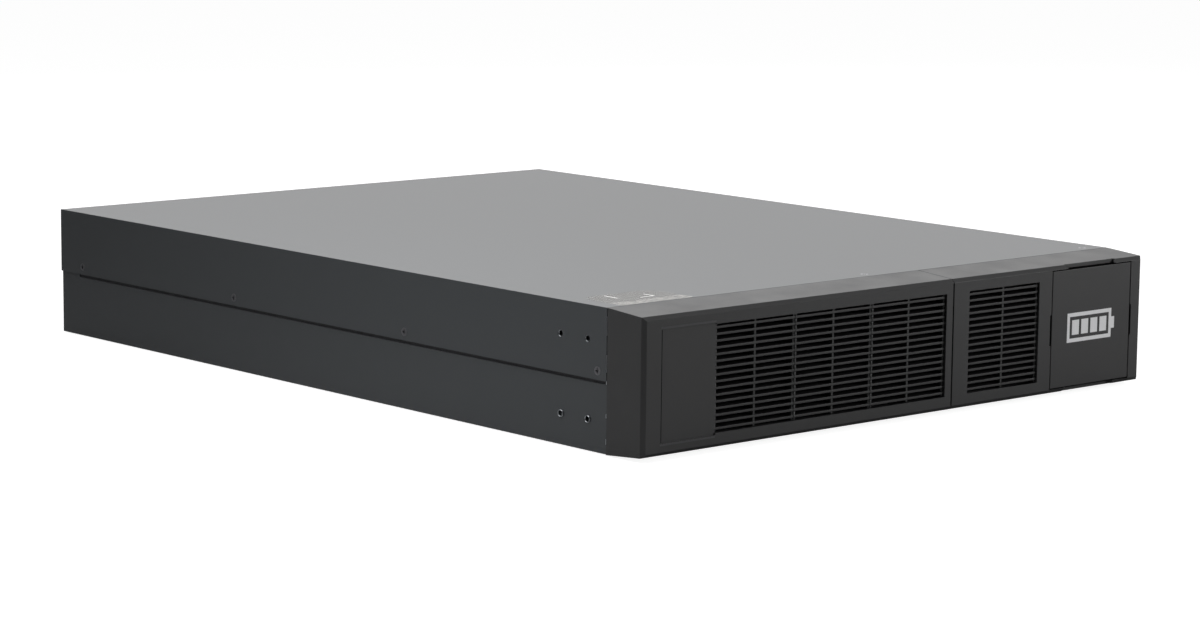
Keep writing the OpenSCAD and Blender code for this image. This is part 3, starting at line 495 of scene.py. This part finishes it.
def rounded(node, name, body, finish, radius, fold=None, fold_radius=0.0, segments=2,
            cut=False):
    """Stands a finely rounded copy in a node's place. fold(edge) picks the edges of the larger radius."""
    sharp = math.radians(28)
    largest = max(radius, fold_radius)
    solid = clean_copy(node, cut)
    weight = solid.edges.layers.float.new("bevel_weight_edge")
    for face in solid.faces:
        face.smooth = True
    for edge in solid.edges:
        turned = len(edge.link_faces) == 2 and edge.calc_face_angle() > sharp
        edge.smooth = not turned or edge.is_convex
        if turned and edge.is_convex:
            chosen = fold_radius if fold and fold(edge) else radius
            edge[weight] = chosen / largest
    piece = new_piece(name, mesh_from(solid, name), body, finish)
    bevel = piece.modifiers.new("edge_radius", "BEVEL")
    bevel.limit_method = "WEIGHT"
    bevel.width = largest
    bevel.segments = segments
    bevel.use_clamp_overlap = True
    normals = piece.modifiers.new("flat_normals", "WEIGHTED_NORMAL")
    normals.mode = "FACE_AREA"
    normals.weight = 100
    normals.keep_sharp = True
    baked(piece)
    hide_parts(node)
    return piece


def flat_print(name, outlines, place, body, thickness, finish="printed_ink"):
    """Printed shapes: closed outlines in metres, raised by the ink's thickness. place is a matrix."""
    sheet = bmesh.new()
    for outline in outlines:
        low = [sheet.verts.new((x, y, 0)) for x, y in outline]
        sheet.faces.new(low)
    raised = bmesh.ops.extrude_face_region(sheet, geom=sheet.faces[:])
    moved = [item for item in raised["geom"] if isinstance(item, bmesh.types.BMVert)]
    bmesh.ops.translate(sheet, verts=moved, vec=(0, 0, thickness))
    bmesh.ops.recalc_face_normals(sheet, faces=sheet.faces)
    sheet.transform(place)
    return new_piece(name, mesh_from(sheet, name), body, finish)


def rectangle(x0, y0, x1, y1):
    """Corners of a rectangle."""
    return [(x0, y0), (x1, y0), (x1, y1), (x0, y1)]


def dress(names, finish):
    """Gives carried-over nodes their material."""
    for name in names:
        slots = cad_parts[name].data.materials
        slots.clear()
        slots.append(material(finish))


def facing_front(x, y, z):
    """Places a flat drawing upright on a face that looks to -Y."""
    return Matrix.Translation((x, y, z)) @ Matrix.Rotation(math.radians(90), 4, "X")


def facing_rear(x, y, z):
    """Places a flat drawing upright on a face that looks to +Y."""
    return (Matrix.Translation((x, y, z)) @ Matrix.Rotation(math.radians(180), 4, "Z")
            @ Matrix.Rotation(math.radians(90), 4, "X"))


# ---------------------------------------------------------------- operators


class PACK_OT_camera(Operator):
    """Create the camera"""

    bl_idname = "pack.camera"
    bl_label = "Camera"

    def execute(self, context):
        studio = context.scene.pack_studio
        az, el = studio.azimuth, studio.elevation
        back = Vector((math.sin(az) * math.cos(el), -math.cos(az) * math.cos(el), math.sin(el)))
        right = Vector((0, 0, 1)).cross(back).normalized()
        up = back.cross(right)
        turned = Matrix.Rotation(studio.roll, 3, back)
        right, up = turned @ right, turned @ up
        low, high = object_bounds()
        aim_depth = 300 * MM
        middle = Vector((0, low[1] + aim_depth, (low[2] + high[2]) / 2))
        place = (middle - right * studio.offset_right - up * studio.offset_up
                 + back * studio.distance)
        data = bpy.data.cameras.new("camera")
        data.sensor_width = 36
        data.lens = studio.focal_length
        data.clip_end = 50
        camera = bpy.data.objects.new("camera", data)
        camera.matrix_world = Matrix((
            (right.x, up.x, back.x, place.x), (right.y, up.y, back.y, place.y),
            (right.z, up.z, back.z, place.z), (0, 0, 0, 1)))
        context.scene.collection.objects.link(camera)
        context.scene.camera = camera
        return {"FINISHED"}


class PACK_OT_case(Operator):
    """Finish the steel case: cover, base, front and rear panels"""

    bl_idname = "pack.case"
    bl_label = "Steel case"

    def execute(self, context):
        details = context.scene.pack_details
        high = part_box("top_cover")[1]
        near = 0.05 * MM

        def cover_fold(edge):
            """The cover's two upper edges, where its sides are folded down."""
            return all(abs(abs(v.co.x) - high.x) < near and abs(v.co.z - high.z) < near
                       for v in edge.verts)

        for node in ("top_cover", "chassis_base", "front_panel", "rear_panel"):
            fold = cover_fold if node == "top_cover" else None
            rounded(node, node + "_sheet", "case", "powder_coated_steel",
                    details.sheet_radius, fold, details.fold_radius if fold else 0.0, 3)
        return {"FINISHED"}


class PACK_OT_seam_shade(Operator):
    """Lay a thin dark strip in the groove between cover and base on both sides, as painted shade for the
    seam's shadow
    """

    bl_idname = "pack.seals"
    bl_label = "Seam shade strips"

    def execute(self, context):
        details = context.scene.pack_details
        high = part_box("chassis_base")[1]
        cover_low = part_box("top_cover")[0]
        # The groove ends before the rear, and the dark strip of painted shade stays clear of its ends,
        # sides and top
        front, back = cover_low.y + 0.6 * MM, high.y - 22.5 * MM
        bottom, top = cover_low.z - details.shade_strip_height, cover_low.z - 0.15 * MM
        steps = 24
        strip = bmesh.new()
        for side in (-1, 1):
            outer = side * (high.x - 0.3 * MM)
            inner = side * (high.x - 0.7 * MM)
            corners = ((inner, bottom), (outer, bottom), (outer, top), (inner, top))
            rings = [[strip.verts.new((x, front + (back - front) * i / steps, z))
                      for x, z in corners] for i in range(steps + 1)]
            join_rings(strip, rings, False)
        bmesh.ops.recalc_face_normals(strip, faces=strip.faces)
        new_piece("seam_shade_strips", mesh_from(strip, "seam_shade_strips"), "case",
                  "painted_shade_seam_strip")
        return {"FINISHED"}


class PACK_OT_bezels(Operator):
    """Finish the two bezel mouldings"""

    bl_idname = "pack.bezels"
    bl_label = "Front bezels"

    def execute(self, context):
        radius = context.scene.pack_details.moulding_radius
        for side in ("left", "right"):
            low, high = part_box(side + "_bezel")
            split = high.x if side == "left" else low.x
            near, shell_depth = 0.05 * MM, 31 * MM

            def wide_edge(edge):
                """The mouldings' meeting edges have a wider radius."""
                return all(abs(v.co.x - split) < near and v.co.y < low.y + shell_depth
                           for v in edge.verts)

            # The right bezel's face has two openings side by side and rounds cleanly only when cut
            rounded(side + "_bezel", side + "_bezel_moulding", side + "_bezel_body",
                    "bezel_abs", radius, wide_edge, 2 * radius, 3,
                    cut=side == "right")
        return {"FINISHED"}


class PACK_OT_bezel_lines(Operator):
    """Add the bezels' dark strips, painted shade in their gaps, and lighter bands painted as highlights
    on the blank recess's lips
    """

    bl_idname = "pack.bezel_lines"
    bl_label = "Bezel lines"

    def execute(self, context):
        details = context.scene.pack_details
        low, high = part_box("left_bezel")
        right_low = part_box("right_bezel")[0]
        grille_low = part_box("grille_1")[0]
        foot, taper = 0.9 * MM, details.bezel_taper
        # A dark strip on the left bezel's edge closes the gap to the right bezel: painted shade for the
        # split
        strip = rectangle(high.x - 0.5 * MM, foot + taper, right_low.x - 0.04 * MM, high.z - taper)
        flat_print("split_shade_strip", [strip], facing_front(0, low.y + 0.12 * MM, 0), "left_bezel_body",
                   0.16 * MM, "painted_shade_strip")
        # A dark frame round the plate's edge fills the gap to its well: painted shade for that gap
        plate_low, plate_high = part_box("label_plate")
        out, lap = details.plate_gap - 0.08 * MM, 0.1 * MM
        x0, x1, z0, z1 = plate_low.x, plate_high.x, plate_low.z, plate_high.z
        shade_frame_sides = [rectangle(x0 - out, z0 - out, x0 + lap, z1 + out),
                       rectangle(x1 - lap, z0 - out, x1 + out, z1 + out),
                       rectangle(x0 + lap, z0 - out, x1 - lap, z0 + lap),
                       rectangle(x0 + lap, z1 - lap, x1 - lap, z1 + out)]
        flat_print("plate_shade_frame", shade_frame_sides, facing_front(0, plate_low.y + 1.4 * MM, 0),
                   "plate_body", 0.9 * MM, "painted_shade_strip")
        # The recess: a dark line by its left edge, painted shade, and lighter lips, painted highlights
        x0, x1 = low.x + details.recess_inset, grille_low.x - 0.3 * MM
        middle = (low.z + high.z) / 2
        z0 = middle - details.grille_height / 2 - 1.2 * MM
        z1 = middle + details.grille_height / 2 + 0.6 * MM
        floor_y = low.y + 0.8 * MM
        thin, inset = 0.05 * MM, 0.2 * MM
        line = rectangle(x0 + 0.7 * MM, z0 + inset, x0 + 1.2 * MM, z1 - inset)
        flat_print("recess_shade_line", [line], facing_front(0, floor_y, 0), "left_bezel_body", thin,
                   "painted_shade_strip")
        # Lighter bands along the recess's top and bottom lips are painted highlights
        near, far, left = 0.35 * MM, 1.5 * MM, x0 - 0.5 * MM
        highlight_bands = [rectangle(left, z1 + near, x1, z1 + far), rectangle(left, z0 - far, x1, z0 - near)]
        flat_print("recess_highlight_bands", highlight_bands, facing_front(0, low.y, 0), "left_bezel_body", thin,
                   "painted_highlight_abs")
        return {"FINISHED"}


class PACK_OT_louvres(Operator):
    """Finish the four louvre modules"""

    bl_idname = "pack.louvres"
    bl_label = "Louvre modules"

    def execute(self, context):
        radius = context.scene.pack_details.slat_radius
        for node, body in LOUVRES.items():
            rounded(node, node.replace("grille", "louvre_module"), body,
                    "louvre_abs", radius)
        return {"FINISHED"}


class PACK_OT_plate(Operator):
    """Finish the label plate and print its plain battery symbol"""

    bl_idname = "pack.plate"
    bl_label = "Label plate"

    def execute(self, context):
        details = context.scene.pack_details
        rounded("label_plate", "square_plate", "plate_body", "bezel_abs",
                details.moulding_radius, segments=3)
        low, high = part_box("label_plate")
        w, h = details.symbol_width, details.symbol_height
        line = h * 0.13
        nub = h * 0.16
        body_w = w - nub
        bars = 4
        gap = line * 0.9
        inner = body_w - 2 * line - 2 * gap
        bar_w = (inner - (bars - 1) * gap) / bars
        x0, y0 = -w / 2, -h / 2
        shapes = [
            rectangle(x0, y0, x0 + body_w, y0 + line),
            rectangle(x0, y0 + h - line, x0 + body_w, y0 + h),
            rectangle(x0, y0 + line, x0 + line, y0 + h - line),
            rectangle(x0 + body_w - line, y0 + line, x0 + body_w, y0 + h - line),
            rectangle(x0 + body_w, -h * 0.2, x0 + w, h * 0.2),
        ]
        for i in range(bars):
            left = x0 + line + gap + i * (bar_w + gap)
            shapes.append(rectangle(left, y0 + line + gap, left + bar_w, y0 + h - line - gap))
        flat_print("plate_symbol", shapes,
                   facing_front((low.x + high.x) / 2, low.y, (low.z + high.z) / 2),
                   "plate_body", details.print_height)
        return {"FINISHED"}


class PACK_OT_film(Operator):
    """Lay the clear film on the cover, near its front left corner"""

    bl_idname = "pack.film"
    bl_label = "Clear film"

    def execute(self, context):
        details = context.scene.pack_details
        low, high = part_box("top_cover")
        wide, deep, band = details.film_width, details.film_depth, details.film_band
        corner = Vector((low.x + 12 * MM, low.y + 1 * MM, high.z + 0.04 * MM))
        round_end = 12 * MM

        def side(y):
            """How far the film's sides draw in at this depth: its rear corners are round."""
            over = max(0.0, y - (deep - round_end))
            return round_end - math.sqrt(max(0.0, round_end ** 2 - over ** 2))

        def lift(x, y):
            """Height of the film over the cover, in a few soft waves."""
            return 0.01 * MM * (1 + math.sin(x * 300 + y * 150) * math.sin(y * 400 - x * 100))

        def patch(name, y0, y1, columns, rows, finish):
            """Part of the film between two depths, as a grid."""
            sheet = bmesh.new()
            grid = []
            for j in range(rows + 1):
                y = y0 + (y1 - y0) * j / rows
                edge = side(y)
                grid.append([])
                for i in range(columns + 1):
                    x = edge + (wide - 2 * edge) * i / columns
                    grid[j].append(sheet.verts.new(corner + Vector((x, y, lift(x, y)))))
            for j in range(rows):
                for i in range(columns):
                    face = sheet.faces.new((grid[j][i], grid[j][i + 1], grid[j + 1][i + 1],
                                            grid[j + 1][i]))
                    face.smooth = True
            new_piece(name, mesh_from(sheet, name), "case", finish)

        # The crinkled band's pale tones are painted sheen
        patch("film_band", 0.0, band, 40, 8, "crinkled_film_and_sheen")
        patch("film_sheet", band, deep, 40, 28, "clear_polyester_film")
        # White strokes along the film's creases are painted glints
        half = 0.45 * MM
        crease = [rectangle(0.30 * wide - half, 0.6 * deep, 0.30 * wide + half, 0.9 * deep),
                  rectangle(0.53 * wide, 0.45 * deep - half, 0.71 * wide, 0.45 * deep + half),
                  rectangle(0.71 * wide, 0.45 * deep - half, 0.71 * wide + 2 * half, 0.68 * deep)]
        flat_print("film_crease_glints", crease, Matrix.Translation(corner + Vector((0, 0, 0.03 * MM))),
                   "case", 0.05 * MM, "glint_painted_film")
        return {"FINISHED"}


class PACK_OT_pads(Operator):
    """Finish the four floor pads"""

    bl_idname = "pack.pads"
    bl_label = "Floor pads"

    def execute(self, context):
        rounded("floor_pads", "floor_pad_discs", "case", "moulded_rubber", 0.2 * MM)
        return {"FINISHED"}


class PACK_OT_screws(Operator):
    """Finish the screws, nuts and earth stud"""

    bl_idname = "pack.screws"
    bl_label = "Fasteners"

    def execute(self, context):
        for node in ("side_screws", "top_screws", "rear_screws"):
            rounded(node, node + "_black", "case", "black_zinc", 0.1 * MM)
        rounded("panel_screws", "panel_screws_zinc", "case", "zinc_plate", 0.1 * MM)
        rounded("earth_nuts", "earth_nuts_zinc", "case", "zinc_plate", 0.2 * MM)
        dress(["ear_nuts"], "zinc_plate")
        rounded("earth_stud", "earth_stud_brass", "case", "turned_brass", 0.3 * MM)
        return {"FINISHED"}


class PACK_OT_edge_glints(Operator):
    """Put bright zinc rims in the ear holes and slivers of zinc in the joint between case and bezel, as
    painted highlights
    """

    bl_idname = "pack.bare_edges"
    bl_label = "Edge glints"

    def execute(self, context):
        details = context.scene.pack_details
        low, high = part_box("top_cover")
        nuts_low, nuts_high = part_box("ear_nuts")
        rim, pitch = details.ear_hole_radius, details.ear_hole_pitch
        half = (nuts_high.y - nuts_low.y - pitch) / 2
        # Bright zinc rims in the ear holes are painted highlights for the light crescents at their edges
        # Section of a rim: each corner's radius and its depth behind the cover's side
        bore = rim - 0.25 * MM
        front, lip, behind = 0.25 * MM, 0.45 * MM, 1.1 * MM
        section = ((rim, front), (rim, behind), (bore, behind), (bore, lip))
        turns = [2 * math.pi * i / 32 for i in range(32)]
        glint_rims = bmesh.new()
        for side in (-1, 1):
            for y in (nuts_low.y + half, nuts_high.y - half):
                for z in (nuts_low.z + half, nuts_high.z - half):
                    rings = [[glint_rims.verts.new((side * (high.x - depth), y + r * math.cos(turn),
                                              z + r * math.sin(turn))) for r, depth in section]
                             for turn in turns]
                    join_rings(glint_rims, rings, True)
        bmesh.ops.recalc_face_normals(glint_rims, faces=glint_rims.faces)
        new_piece("ear_hole_glint_rims", mesh_from(glint_rims, "ear_hole_glint_rims"), "case",
                  "zinc_plate")
        # Upright slivers of bright zinc in the joint between case and bezel: painted glints
        tall = high.z - low.z
        places = ((0.62, 0.26), (0.12, 0.24), (-0.04, 0.05), (-0.5, 0.06), (-0.86, 0.08))
        glint_slivers = [rectangle(-0.14 * MM, low.z + tall * at, 0.14 * MM, low.z + tall * (at + size))
                   for at, size in places]
        for side, name in ((-1, "left"), (1, "right")):
            place = (Matrix.Translation((side * (high.x - 0.2 * MM), low.y, 0))
                     @ Matrix.Rotation(side * math.radians(90), 4, "Z")
                     @ Matrix.Rotation(math.radians(90), 4, "X"))
            flat_print("joint_glint_" + name, glint_slivers, place, "case", 0.12 * MM,
                       "zinc_plate")
        return {"FINISHED"}


class PACK_OT_rear(Operator):
    """Finish the breaker, sockets and port, and print their plain marks"""

    bl_idname = "pack.rear"
    bl_label = "Rear parts"

    def execute(self, context):
        details = context.scene.pack_details
        rounded("breaker_body", "breaker_housing", "case", "breaker_polyamide",
                0.3 * MM, segments=3)
        rounded("breaker_toggle", "breaker_lever", "toggle_body",
                "toggle_polyamide", 0.4 * MM, segments=3)
        for i in (1, 2):
            rounded(f"power_socket_{i}", f"power_socket_{i}_housing", "case",
                    "socket_polyamide", 0.3 * MM, segments=3)
            rounded(f"socket_contacts_{i}", f"contact_pins_{i}", "case",
                    "silver_plate", 0.4 * MM, segments=3)
        rounded("signal_port", "signal_jack", "case", "socket_polyamide",
                0.2 * MM)
        panel_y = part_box("rear_panel")[1].y
        pin_radius, reach, half = 2.5 * MM, 2 * MM, 0.4 * MM
        bar = rectangle(-reach, -half, reach, half)
        uprights = [rectangle(-half, half, half, reach), rectangle(-half, -reach, half, -half)]
        for i in (1, 2):
            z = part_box(f"power_socket_{i}")[1].z + 3 * MM
            pin_low, pin_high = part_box(f"socket_contacts_{i}")
            for name, x, shapes in (("minus", pin_high.x - pin_radius, [bar]),
                                    ("plus", pin_low.x + pin_radius, [bar, *uprights])):
                flat_print(f"{name}_mark_{i}", shapes, facing_rear(x, panel_y, z), "case",
                           details.print_height)
        return {"FINISHED"}


class PACK_OT_inside(Operator):
    """Finish the trays, blocks and wiring inside"""

    bl_idname = "pack.inside"
    bl_label = "Inside"

    def execute(self, context):
        dress(["centre_divider", "left_tray", "right_tray", "left_hold_downs",
               "right_hold_downs"], "galvanised_steel")
        dress(["left_pads", "right_pads"], "closed_cell_foam")
        dress(BATTERIES, "battery_abs")
        dress(["left_links", "right_links", "negative_lead", "output_negative_lead"], "black_pvc")
        dress(["left_positive_lead", "right_positive_lead", "positive_lead",
               "output_positive_lead"], "red_pvc")
        dress(["left_fuse_holder", "right_fuse_holder"], "breaker_polyamide")
        return {"FINISHED"}


class PACK_OT_stage(Operator):
    """Set up the floor, the room light and the softboxes"""

    bl_idname = "pack.stage"
    bl_label = "Stage"

    def execute(self, context):
        studio = context.scene.pack_studio
        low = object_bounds()[0]
        reach = 12.0
        sheet = bmesh.new()
        corners = [sheet.verts.new((x, y, low[2] - 0.2 * MM))
                   for x, y in ((-reach, -reach), (reach, -reach), (reach, reach), (-reach, reach))]
        sheet.faces.new(corners)
        mesh = mesh_from(sheet, "floor")
        floor = bpy.data.objects.new("floor", mesh)
        mesh.materials.append(paper_floor(context.scene.pack_colours.floor))
        context.scene.collection.objects.link(floor)
        floor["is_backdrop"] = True
        self.room(context, studio)
        self.softbox(context, "front_softbox", (1.15, -1.3, 0.5), (0.32, -0.68, 0.0), 0.7,
                     studio.key_power)
        self.softbox(context, "side_softbox", (-0.46, -0.16, 0.5), (-0.33, -0.1, 0.0), 0.4,
                     studio.fill_power)
        self.softbox(context, "overhead_softbox", (0.1, 0.2, 1.9), (0, 0, 0), 1.6,
                     studio.top_power)
        # The rear light leaves no glare on the cover
        self.softbox(context, "rear_softbox", (0.7, 1.7, 0.9), (0.1, 0.3, 0.0), 0.8,
                     studio.top_power).visible_glossy = False
        return {"FINISHED"}

    def room(self, context, studio):
        """A white backdrop behind the pack, grey walls elsewhere, and softer diffuse light."""
        world = bpy.data.worlds.new("room")
        context.scene.world = world
        world.use_nodes = True
        tree = world.node_tree
        tree.nodes.clear()
        ray = add(tree, "ShaderNodeLightPath")
        look = add(tree, "ShaderNodeTexCoord").outputs["Generated"]
        away = (-math.sin(studio.azimuth), math.cos(studio.azimuth), 0)
        facing = add(tree, "ShaderNodeVectorMath", {0: look, 1: away}, operation="DOT_PRODUCT")
        backdrop = add(tree, "ShaderNodeMapRange", {"Value": facing.outputs["Value"],
                                                    "From Min": 0.35, "From Max": 0.85,
                                                    "To Min": studio.walls, "To Max": studio.backdrop},
                       interpolation_type="SMOOTHSTEP")
        sharp = add(tree, "ShaderNodeMath", {0: ray.outputs["Is Glossy Ray"],
                                             1: ray.outputs["Is Transmission Ray"]},
                    operation="MAXIMUM")
        light = add(tree, "ShaderNodeMix", {"Factor": sharp.outputs["Value"], "A": studio.ambient,
                                            "B": backdrop.outputs["Result"]}, data_type="FLOAT")
        level = add(tree, "ShaderNodeMath", {0: light.outputs["Result"],
                                             1: ray.outputs["Is Camera Ray"]}, operation="MAXIMUM")
        background = add(tree, "ShaderNodeBackground", {"Strength": level.outputs["Value"]})
        background.inputs["Color"].default_value = (1.0, 1.0, 1.0, 1.0)
        output = add(tree, "ShaderNodeOutputWorld")
        tree.links.new(background.outputs["Background"], output.inputs["Surface"])

    def softbox(self, context, name, place, target, size, power):
        """A square area light aimed at a point."""
        data = bpy.data.lights.new(name, "AREA")
        data.shape = "SQUARE"
        data.size = size
        data.energy = power
        light = bpy.data.objects.new(name, data)
        light.visible_camera = False
        light.location = place
        aim = Vector(target) - Vector(place)
        light.rotation_euler = aim.to_track_quat("-Z", "Y").to_euler()
        context.scene.collection.objects.link(light)
        return light


class PACK_PT_sidebar(Panel):
    """Lists the steps and their settings"""

    bl_idname = "PACK_PT_sidebar"
    bl_label = "Battery Pack"
    bl_space_type = "VIEW_3D"
    bl_region_type = "UI"
    bl_category = "Battery Pack"

    def draw(self, context):
        for step in STEPS:
            self.layout.operator(step.bl_idname)
        for group in ("pack_colours", "pack_details", "pack_studio"):
            settings = getattr(context.scene, group)
            box = self.layout.box()
            for name in settings.bl_rna.properties.keys():
                if name not in ("rna_type", "name"):
                    box.prop(settings, name)


GROUPS = {"pack_colours": PackColours, "pack_details": PackDetails, "pack_studio": PackStudio}
STEPS = (PACK_OT_camera, PACK_OT_case, PACK_OT_seam_shade, PACK_OT_bezels, PACK_OT_bezel_lines,
         PACK_OT_louvres, PACK_OT_plate, PACK_OT_film, PACK_OT_pads, PACK_OT_screws,
         PACK_OT_edge_glints, PACK_OT_rear, PACK_OT_inside, PACK_OT_stage)


def register():
    """Registers the settings, steps and panel."""
    for group in GROUPS.values():
        bpy.utils.register_class(group)
    for name, group in GROUPS.items():
        setattr(bpy.types.Scene, name, PointerProperty(type=group))
    for step in STEPS:
        bpy.utils.register_class(step)
    bpy.utils.register_class(PACK_PT_sidebar)


def unregister():
    """Takes everything off again."""
    bpy.utils.unregister_class(PACK_PT_sidebar)
    for step in reversed(STEPS):
        bpy.utils.unregister_class(step)
    for name, group in GROUPS.items():
        delattr(bpy.types.Scene, name)
        bpy.utils.unregister_class(group)


def main():
    """Builds the whole scene."""
    register()
    bpy.context.scene.view_settings.view_transform = "Standard"
    for step in STEPS:
        group, name = step.bl_idname.split(".")
        getattr(getattr(bpy.ops, group), name)()


if __name__ == "__main__":
    main()
